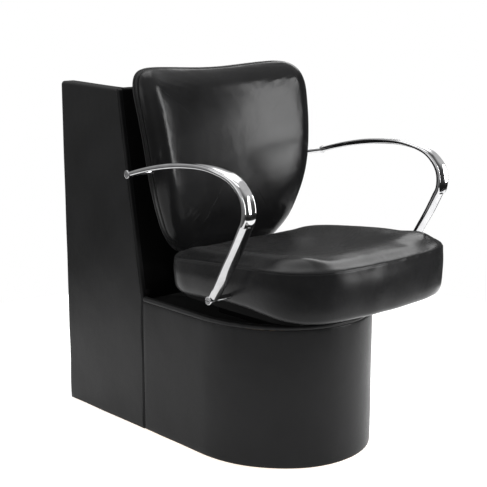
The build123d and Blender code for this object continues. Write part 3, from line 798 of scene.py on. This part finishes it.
def nearest_in_polygon(points, polygon):
    """Nearest points inside or on a convex counter-clockwise polygon."""
    inside = np.ones(len(points), bool)
    best = np.full(len(points), 1e9)
    near = points.copy()
    for a, b in zip(polygon, np.roll(polygon, -1, axis=0)):
        edge = b - a
        rel = points - a
        inside &= edge[0] * rel[:, 1] - edge[1] * rel[:, 0] >= -1e-12
        t = np.clip(rel @ edge / (edge @ edge), 0, 1)
        foot = a + t[:, None] * edge
        gap = np.linalg.norm(points - foot, axis=1)
        closer = gap < best
        best[closer] = gap[closer]
        near[closer] = foot[closer]
    near[inside] = points[inside]
    return near


def inset_polygon(polygon, distance):
    """A convex counter-clockwise polygon moved in by a distance."""
    edges = np.roll(polygon, -1, axis=0) - polygon
    edges /= np.linalg.norm(edges, axis=1)[:, None]
    starts = polygon + distance * np.column_stack([-edges[:, 1], edges[:, 0]])
    corners = []
    for k in range(len(polygon)):
        p, d, q, e = starts[k - 1], edges[k - 1], starts[k], edges[k]
        corners.append(p + d * np.linalg.solve(np.column_stack([d, -e]), q - p)[0])
    return np.array(corners)


column_points = points_of("tower_left_cover")
column_low, column_high = column_points.min(axis=0), column_points.max(axis=0)
HALF = column_high[0]
JOIN_Y = column_low[1]
REAR_Y = column_high[1]
SLOPE_Z = 0.350
crest = column_points[column_points[:, 2] > column_high[2] - 0.006]
TOP_FRONT = crest[np.argmin(crest[:, 1])][1:]
SIDE_VIEW = np.array(
    [(JOIN_Y, column_low[2]), (REAR_Y, column_low[2]), (REAR_Y, column_high[2]), TOP_FRONT, (JOIN_Y, SLOPE_Z)]
)
FRONT_EDGE = SIDE_VIEW[3] - SIDE_VIEW[4]
FRONT_DIR = FRONT_EDGE / np.linalg.norm(FRONT_EDGE)
TOP_DIR = (SIDE_VIEW[2] - SIDE_VIEW[3]) / np.linalg.norm(SIDE_VIEW[2] - SIDE_VIEW[3])
FRONT_NORMAL = Vector((0, FRONT_DIR[1], -FRONT_DIR[0]))
TOP_NORMAL = Vector((0, -TOP_DIR[1], TOP_DIR[0]))


def rounded_body(co, x0, x1, polygon, radius):
    """Pulls points that stand outside a rounded prism onto its surface."""
    low_edge = np.where(polygon[:, 1:] < 0.01, -0.05, polygon[:, 1:])
    core = inset_polygon(np.column_stack([polygon[:, 0], low_edge]), radius)
    near = np.column_stack([np.clip(co[:, 0], x0 + radius, x1 - radius), nearest_in_polygon(co[:, 1:], core)])
    away = co - near
    far = np.linalg.norm(away, axis=1)
    out = co.copy()
    late = far > radius
    out[late] = near[late] + away[late] / far[late][:, None] * radius
    return out


def cut(axis, at):
    """A plane across an axis of the row frame, as a point and a normal."""
    normal = Vector([float(k == axis) for k in range(3)])
    return normal * at, normal


CUTS = []
for step in (0.0008, 0.0018, 0.003, 0.0045, 0.0065, 0.010):  # close rows of points near each rounded edge
    CUTS += [cut(0, HALF - step), cut(0, -HALF + step), cut(1, REAR_Y - step), cut(1, JOIN_Y + step)]
    CUTS.append((Vector((0, JOIN_Y, SLOPE_Z)) + FRONT_NORMAL * step, FRONT_NORMAL))
    CUTS.append((Vector((0, *TOP_FRONT)) - TOP_NORMAL * step, TOP_NORMAL))
CUTS += [cut(2, z) for z in np.arange(0.02, 0.85, 0.022)]
CUTS += [cut(1, y) for y in np.arange(JOIN_Y + 0.02, REAR_Y - 0.012, 0.022)]
LIP_X = 0.190  # inner face of the padded lips on top of the side boards
LIP_STEPS = (0.0005, 0.002, 0.004, 0.007, 0.013)
LIP_CUTS = [cut(0, side * (LIP_X + step)) for side in (1, -1) for step in LIP_STEPS]
FACE_CUTS = [cut(0, x) for x in np.arange(-0.20, 0.201, 0.025)]


def soft_skin(name, node, planes, radius, lean=0.0006, seed=1, wing=None, material=None):
    """A CAD skin as vinyl drawn over its board: rounded edges and a slightly uneven face."""
    obj = bpy.data.objects.new(name, recut(node, planes))
    bpy.context.scene.collection.objects.link(obj)
    co = rounded_body(coords(obj), -HALF, HALF, SIDE_VIEW, radius)
    if wing:
        above = co[:, 2] > 0.79
        co[above] = rounded_body(co, *wing, SIDE_VIEW, 0.006)[above]
    set_coords(obj, co)
    uneven(obj, lean, 0.16, seed)
    return finish_piece(obj, material or COVER, [node], smooth_deg=40)


soft_skin("column_left_cover", "tower_left_cover", CUTS + LIP_CUTS, 0.005, seed=21, wing=(LIP_X, HALF))
soft_skin("column_right_cover", "tower_right_cover", CUTS + LIP_CUTS, 0.005, seed=22, wing=(-HALF, -LIP_X))
# the column's front is the same vinyl as its sides; the darker copy on it is painted shade
soft_skin("column_front_cover", "tower_front_cover", CUTS + FACE_CUTS, 0.005, seed=23, material=SHADED_VINYL)
soft_skin("column_rear_cover", "tower_rear_cover", CUTS + FACE_CUTS, 0.005, seed=24)


def front_edge(z, back):
    """(y, z) on the column's side, a distance behind its front edge."""
    return JOIN_Y + back + max(0.0, z - SLOPE_Z) * FRONT_EDGE[0] / FRONT_EDGE[1]


# welts: a folded seam that runs up each side, just behind the front edge, and over the top
WELT_R = 0.0013
WELT_BACK = 0.0055
TOP_Z = TOP_FRONT[1]
top_y = front_edge(TOP_Z, WELT_BACK)
for side, word in ((1, "left"), (-1, "right")):
    heights = np.arange(0.006, TOP_Z - 0.004, 0.008)
    line = [(side * (HALF + 0.0001), front_edge(z, WELT_BACK), z) for z in heights]
    line += [(side * (HALF - 0.0012), top_y, TOP_Z - 0.0014)]
    line += [(side * x, top_y, TOP_Z + 0.0001) for x in np.linspace(HALF - 0.006, LIP_X + 0.007, 8)]
    line = np.array(line)
    line[:, 1] += 0.0004 * waves(line, 0.03, 30)
    verts, faces = tube(line, WELT_R)
    make(f"column_{word}_welt", verts, faces, COVER)
    verts, faces = stitches(line + np.array([side * 0.0002, 0.0042, 0.0001]))
    make(f"column_{word}_welt_threads", verts, faces, THREAD)


# ---- pedestal -----------------------------------------------------------------------------
cover_low, cover_high = span("pedestal_cover")
roll_low, roll_high = span("pedestal_rim_roll")
deck_low, deck_high = span("pedestal_deck_cover")
PED_HALF = cover_high[0]
NOSE = 0.255
NOSE_Y = cover_low[1] + NOSE


def d_path(straight=26, curved=150, turn=0.004):
    """Plan of the pedestal's outside from one rear end round the nose to the other."""
    join = cover_high[1]
    side = []
    for k in range(5):
        a = (1 - k / 4) * math.pi / 2
        side.append((PED_HALF - turn * (1 - math.cos(a)), join - turn * (1 - math.sin(a)) - 0.0002))
    side += [(PED_HALF, y) for y in np.linspace(join - turn, NOSE_Y, straight)[1:-1]]
    nose = [(PED_HALF * math.cos(a), NOSE_Y - NOSE * math.sin(a)) for a in np.linspace(0, math.pi, curved)]
    return np.array(side + nose + [(-x, y) for x, y in reversed(side)])


ped_path = d_path()
along = np.gradient(ped_path, axis=0)
along /= np.linalg.norm(along, axis=1)[:, None]
ped_in = np.column_stack([along[:, 1], -along[:, 0]])
if ((np.array([0, -0.05]) - ped_path) * ped_in).sum() < 0:
    ped_in = -ped_in
ped_in[:5] = (-1, 0)
ped_in[-5:] = (1, 0)
ped_run = np.concatenate([[0], np.cumsum(np.linalg.norm(np.diff(ped_path, axis=0), axis=1))])


def ped_row(inset, z):
    """A row along the pedestal's plan, moved in by an inset (one number, or one for each point)."""
    plan_row = ped_path + ped_in * np.asarray(inset).reshape(-1, 1)
    return np.column_stack([plan_row, np.broadcast_to(z, len(ped_path))])


seam_z = roll_low[2]
run_points = np.column_stack([ped_run, np.zeros_like(ped_run), np.zeros_like(ped_run)])
gather = waves(run_points, 0.026, 41) * (0.35 + 0.65 * smoothstep(-ped_path[:, 1], -0.02, 0.12))


def cover_rows():
    """Outside of the pedestal's vinyl, bottom to top, drawn in to the seam under the rim."""
    rows = [ped_row(0.0022, cover_low[2] + 0.0002), ped_row(0.0006, cover_low[2] + 0.0012)]
    near_seam = seam_z - np.array([0.024, 0.018, 0.013, 0.009, 0.006, 0.004, 0.0024, 0.001, 0.0])
    for z in np.concatenate([np.arange(0.008, seam_z - 0.03, 0.016), near_seam]):
        under = seam_z - z
        pull = 0.0009 * math.exp(-under / 0.004) + 0.0006 * gather * math.exp(-under / 0.014)
        rows.append(ped_row(pull, z))
    return rows


def with_back(rows, thickness):
    """A sheet of rows closed by a second layer behind it."""
    outer = np.array(rows)
    inner = outer.copy()
    inner[:, :, :2] += ped_in * thickness
    rings = np.concatenate([outer, inner[::-1]])
    count, columns = rings.shape[:2]
    faces = rings_to_faces(count, columns, wrap=False, around=True)
    for c in (0, columns - 1):
        for r in range(len(outer) - 1):
            front, behind = r * columns + c, (count - 1 - r) * columns + c
            faces.append((front, front + columns, behind - columns, behind))
    return rings.reshape(-1, 3), faces


verts, faces = with_back(cover_rows(), 0.0024)
cover = make("pedestal_side_cover", verts, faces, COVER, ["pedestal_cover"])
uneven(cover, 0.0005, 0.17, 33)

# a cord closes the joint between the pedestal and the column, in the darker vinyl as painted shade in the
# joint
PIPING_R = 0.0026
for side, word in ((1, "left"), (-1, "right")):
    heights = np.linspace(cover_low[2] + 0.001, roll_high[2] - 0.004, 40)
    inside = np.full(len(heights), side * (PED_HALF - 0.0048))
    verts, faces = tube(np.column_stack([inside, np.full(len(heights), JOIN_Y), heights]), PIPING_R)
    make(f"joint_piping_{word}", verts, faces, SHADED_VINYL)


def rim_rows():
    """Padded rim: a roll that stands on the wall and turns down to the deck."""
    top = roll_high[2] - seam_z
    rows = []
    for inset, up in (
        (0.0012, 0.0004), (0.0004, 0.0016), (-0.0004, 0.0035), (-0.0006, 0.0058), (0.0000, 0.0080),
        (0.0016, 0.0100), (0.0040, 0.0114), (0.0070, 0.0119), (0.0100, 0.0115), (0.0126, 0.0100),
        (0.0144, 0.0075), (0.0152, 0.0040), (0.0156, 0.0004),
    ):
        swell = 0.0005 * gather * math.exp(-up / 0.006)
        rows.append(ped_row(inset + swell, seam_z + up / 0.012 * top + 0.0003 * gather))
    return rows


rim = np.array(rim_rows())
count, columns = rim.shape[:2]
faces = rings_to_faces(count, columns, wrap=False, around=True)
faces += [tuple(r * columns + c for r in range(count)) for c in (0, columns - 1)]
rim_piece = make("pedestal_rim_cover", rim.reshape(-1, 3), faces, COVER, ["pedestal_rim_roll"])

DECK_STEPS = (
    (0.0162, 0.0), (0.0165, 0.0012), (0.0175, 0.0022), (0.020, 0.0029),
    (0.030, 0.003), (0.05, 0.003), (0.075, 0.003),
)
edge = np.array([ped_row(inset, deck_low[2] + up) for inset, up in DECK_STEPS])
centre = np.array([0.0, -0.06, deck_high[2]])
inner = [centre + (edge[-1] - centre) * share for share in (0.75, 0.5, 0.25, 0.04)]
rows = np.concatenate([edge, inner])
dents = 0.0006 * waves(rows.reshape(-1, 3), 0.12, 45).reshape(rows.shape[:2])
rows[:, :, 2] += dents * smoothstep(np.arange(len(rows)), 2, 6)[:, None]
verts, faces = closed_form(rows)
# the deck under the seat gets the darker vinyl: painted shade from the seat above
make("pedestal_deck_skin", verts, faces, SHADED_VINYL, ["pedestal_deck_cover"])


# ---- arms ---------------------------------------------------------------------------------
REAR_FIXING = (0.0640, 0.6690)
FRONT_FIXING = (-0.2305, 0.4275)
ARM_LINE = [  # centre line as (y, z), then half width across X, half thickness, squareness, flange, hollow
    (REAR_FIXING, 0.0072, 0.0056, 2.8, 0.0, 0.0),
    ((0.0200, 0.6815), 0.0074, 0.0060, 2.9, 0.0, 0.0),
    ((-0.0350, 0.6950), 0.0078, 0.0063, 3.0, 0.0, 0.0),
    ((-0.0980, 0.7065), 0.0084, 0.0065, 3.0, 0.0, 0.0),
    ((-0.1600, 0.7130), 0.0106, 0.0066, 3.0, 0.35, 0.0008),
    ((-0.2150, 0.7145), 0.0140, 0.0067, 3.0, 0.80, 0.0022),
    ((-0.2620, 0.7090), 0.0160, 0.0067, 2.9, 1.0, 0.0030),
    ((-0.2990, 0.6990), 0.0168, 0.0069, 3.2, 0.7, 0.0036),
    ((-0.3250, 0.6820), 0.0171, 0.0071, 3.4, 0.3, 0.0038),
    ((-0.3405, 0.6620), 0.0172, 0.0073, 3.6, 0.0, 0.0038),
    ((-0.3460, 0.6400), 0.0172, 0.0075, 3.8, 0.0, 0.0034),
    ((-0.3440, 0.6170), 0.0173, 0.0074, 3.8, 0.0, 0.0024),
    ((-0.3340, 0.5970), 0.0176, 0.0071, 3.8, 0.0, 0.0),
    ((-0.3110, 0.5540), 0.0184, 0.0064, 3.8, 0.0, 0.0),
    ((-0.2840, 0.5100), 0.0184, 0.0060, 3.6, 0.0, 0.0),
    ((-0.2560, 0.4640), 0.0172, 0.0060, 3.4, 0.0, 0.0),
    (FRONT_FIXING, 0.0138, 0.0062, 3.0, 0.0, 0.0),
]
arm_low, arm_high = span("arm_left")
ARM_X = (arm_low[0] + arm_high[0]) / 2
LIP_Z = 0.606  # height where the hollow of the band ends above the leg
LIP_WIDTH = 0.0022
GROOVE = 0.0034  # its depth, and how wide it is to each side


def arm_form(side):
    """One cast arm: a rod that grows a flange, widens into a hollowed band and turns into a leg."""
    stations = np.array([[y, z, w, h, p, s, c] for (y, z), w, h, p, s, c in ARM_LINE])
    line = catmull(stations, 181)
    ahead = np.gradient(line[:, :2], axis=0)
    ahead /= np.linalg.norm(ahead, axis=1)[:, None]
    out = np.column_stack([ahead[:, 1], -ahead[:, 0]])  # away from the loop's inside
    angle = np.linspace(0, 2 * math.pi, 72, endpoint=False)
    below = line[:, 1] < LIP_Z
    along = np.arange(len(line)) / len(line)
    rings = []
    for (y, z, w, h, p, flange, hollow), n, low, share in zip(line, out, below, along):
        x = w * np.sign(np.cos(angle)) * np.abs(np.cos(angle)) ** (2 / p)
        thick = h * np.sign(np.sin(angle)) * np.abs(np.sin(angle)) ** (2 / p)
        top = thick > 0
        leg = low and share > 0.5
        # the hollow runs along the outer face between two lips and stops above the leg
        flat = leg or hollow <= 0  # the spline dips just below zero at the hollow's ends
        dish = 0 if flat else hollow * np.clip(1 - (x / (w - LIP_WIDTH)) ** 2, 0, 1)
        thick = np.where(top, thick - dish, thick)
        # groove between the round rod outside and the flange towards the sitter
        fade = 1 - smoothstep(share, 0.44, 0.52)
        groove = GROOVE * flange * fade * np.exp(-(((x - 0.25 * w) / GROOVE) ** 2))
        thick = np.where(top, thick - groove, thick)
        # the flange is thinner than the rod and sits high
        inner = smoothstep(-x, -0.1 * w, 0.5 * w) * flange * (1 - smoothstep(share, 0.46, 0.56))
        thick = np.where(top, thick + 0.0008 * inner, thick * (1 - 0.55 * inner))
        # the leg's face rounds over towards the outside
        if leg:
            thick = thick - np.where(top, 0.0034 * smoothstep(x, 0.05 * w, w) ** 1.5, 0.0)
        rings.append(np.column_stack([side * (ARM_X + x), y + thick * n[0], z + thick * n[1]]))
    return closed_form(rings)


def turned(profile, centre, side, segments=40):
    """A turned boss along X: profile is (x from the middle outwards, radius)."""
    angle = np.linspace(0, 2 * math.pi, segments, endpoint=False)
    rings = []
    for x, radius in profile:
        y = centre[0] + radius * np.cos(angle)
        z = centre[1] + radius * np.sin(angle)
        rings.append(np.column_stack([np.full(segments, side * (ARM_X + x)), y, z]))
    return closed_form(rings)


def boss(half):
    """Turned boss: a domed rim round the bolt's recess outside, a plain face inside."""
    inner = [(-half, 0.0050), (-half, 0.0058), (-0.3 * half, 0.0062), (0.35 * half, 0.0084)]
    rim = [(half - 0.0024, 0.0095), (half - 0.0008, 0.0098), (half + 0.0004, 0.0093), (half + 0.0008, 0.0082)]
    return inner + rim + [(half + 0.0005, 0.0074), (half - 0.0009, 0.0071)]


REAR_BOSS, FRONT_BOSS = boss(0.0085), boss(0.0140)
for side, word in ((1, "left"), (-1, "right")):
    bosses = [turned(REAR_BOSS, REAR_FIXING, side), turned(FRONT_BOSS, FRONT_FIXING, side)]
    verts, faces = gathered([arm_form(side)] + bosses)
    make(f"arm_{word}_casting", verts, faces, ALUMINIUM, [f"arm_{word}"], smooth_deg=50)


# ---- floor, camera, light -----------------------------------------------------------------
FLOOR_R = 1.45
bm = bmesh.new()
bmesh.ops.create_circle(bm, cap_ends=True, cap_tris=True, segments=96, radius=FLOOR_R)
mesh = bpy.data.meshes.new("floor")
bm.to_mesh(mesh)
bm.free()
floor = bpy.data.objects.new("floor", mesh)
bpy.context.scene.collection.objects.link(floor)
floor.location = (0, 0, CAD_BOX[0][2] - 0.0002)
floor.data.materials.append(plain_floor("floor", 0.60))

CAMERA_AT = Vector((-1.9331, -2.1290, 1.0935))
AZIMUTH = math.radians(-41.97)
ELEVATION = math.radians(12.24)
level = Vector((-math.sin(AZIMUTH), math.cos(AZIMUTH), 0))
forward = level * math.cos(ELEVATION) - Vector((0, 0, math.sin(ELEVATION)))
rightward = Vector((math.cos(AZIMUTH), math.sin(AZIMUTH), 0))
upward = rightward.cross(forward)
camera_data = bpy.data.cameras.new("camera")
camera_data.sensor_width = 36.0
camera_data.lens = 87.73
camera_data.clip_start = 0.05
camera_data.clip_end = 60
camera = bpy.data.objects.new("camera", camera_data)
axes = Matrix((rightward, upward, -forward)).transposed().to_4x4()
camera.matrix_world = Matrix.Translation(CAMERA_AT) @ axes
bpy.context.scene.collection.objects.link(camera)
bpy.context.scene.camera = camera


def softbox(name, place, target, width, height, power):
    """A rectangular light that looks at a point."""
    data = bpy.data.lights.new(name, "AREA")
    data.shape = "RECTANGLE"
    data.size = width
    data.size_y = height
    data.energy = power
    light = bpy.data.objects.new(name, data)
    light.location = place
    light.rotation_mode = "QUATERNION"
    light.rotation_quaternion = (Vector(place) - Vector(target)).to_track_quat("Z", "Y")
    bpy.context.scene.collection.objects.link(light)


# the key is one tall strip in three parts, narrower and further to the side towards the floor
for name, x, low, high, width, glow in (
    ("key_upper", 1.70, 1.05, 3.20, 0.74, 51),
    ("key_middle", 1.64, 0.55, 1.05, 0.68, 56),
    ("key_lower", 1.58, 0.12, 0.55, 0.60, 58),
):
    y = -2.50 - (1.70 - x) * 0.66
    middle = (low + high) / 2
    softbox(name, (x, y, middle), (0.05, 0.0, middle), width, high - low, glow * width * (high - low))
softbox("right_fill", (2.30, 1.15, 2.10), (0, -0.1, 0.5), 1.3, 1.0, 13)
softbox("left_fill", (-3.2, 1.6, 1.5), (0, 0.1, 0.5), 2.4, 1.8, 21)
softbox("top", (0.3, 0.9, 3.2), (0, 0, 0.4), 2.0, 1.6, 24)

# the studio's walls as the chair reflects them: dark below, pale above, brighter on the left
WALL_TONES = ((-1.0, 0.04), (-0.30, 0.07), (-0.06, 0.27), (0.10, 0.32), (0.80, 1.00))
LEFT_FACTOR, RIGHT_FACTOR = 1.7, 0.30
WHITE = (1, 1, 1, 1)
world = bpy.data.worlds.new("studio")
bpy.context.scene.world = world
world.use_nodes = True
w = Nodes(world.node_tree)
direction = w.node("ShaderNodeSeparateXYZ", {0: w.node("ShaderNodeTexCoord").outputs["Generated"]}).outputs
wall = w.node("ShaderNodeValToRGB", {0: w.sum(w.sum(direction["Z"], 0.5, "MULTIPLY"), 0.5)})
wall.color_ramp.interpolation = "EASE"
while len(wall.color_ramp.elements) < len(WALL_TONES):
    wall.color_ramp.elements.new(0.5)
for stop, (z, tone) in zip(wall.color_ramp.elements, WALL_TONES):
    stop.position = z / 2 + 0.5
    stop.color = (tone, tone, tone, 1.0)
low_down = w.fit(direction["X"], -0.60, 0.45, LEFT_FACTOR, RIGHT_FACTOR, "SMOOTHSTEP")
high_up = w.fit(direction["Z"], 0.35, 0.70, 0.0, 1.0, "SMOOTHSTEP")
factor = w.node("ShaderNodeMix", {"Factor": high_up, "A": low_down, "B": 1.0}).outputs["Result"]
shade = w.sum(wall.outputs[0], factor, "MULTIPLY")
reflected = w.node("ShaderNodeBackground", {"Color": WHITE, "Strength": shade}).outputs[0]
backdrop = w.node("ShaderNodeBackground", {"Color": WHITE, "Strength": 1.0}).outputs[0]
seen = w.node("ShaderNodeLightPath").outputs["Is Camera Ray"]
mixed = w.node("ShaderNodeMixShader", {0: seen, 1: reflected, 2: backdrop}).outputs[0]
w.node("ShaderNodeOutputWorld", {0: mixed})
bpy.context.scene.view_settings.view_transform = "Standard"

bpy.context.view_layer.update()
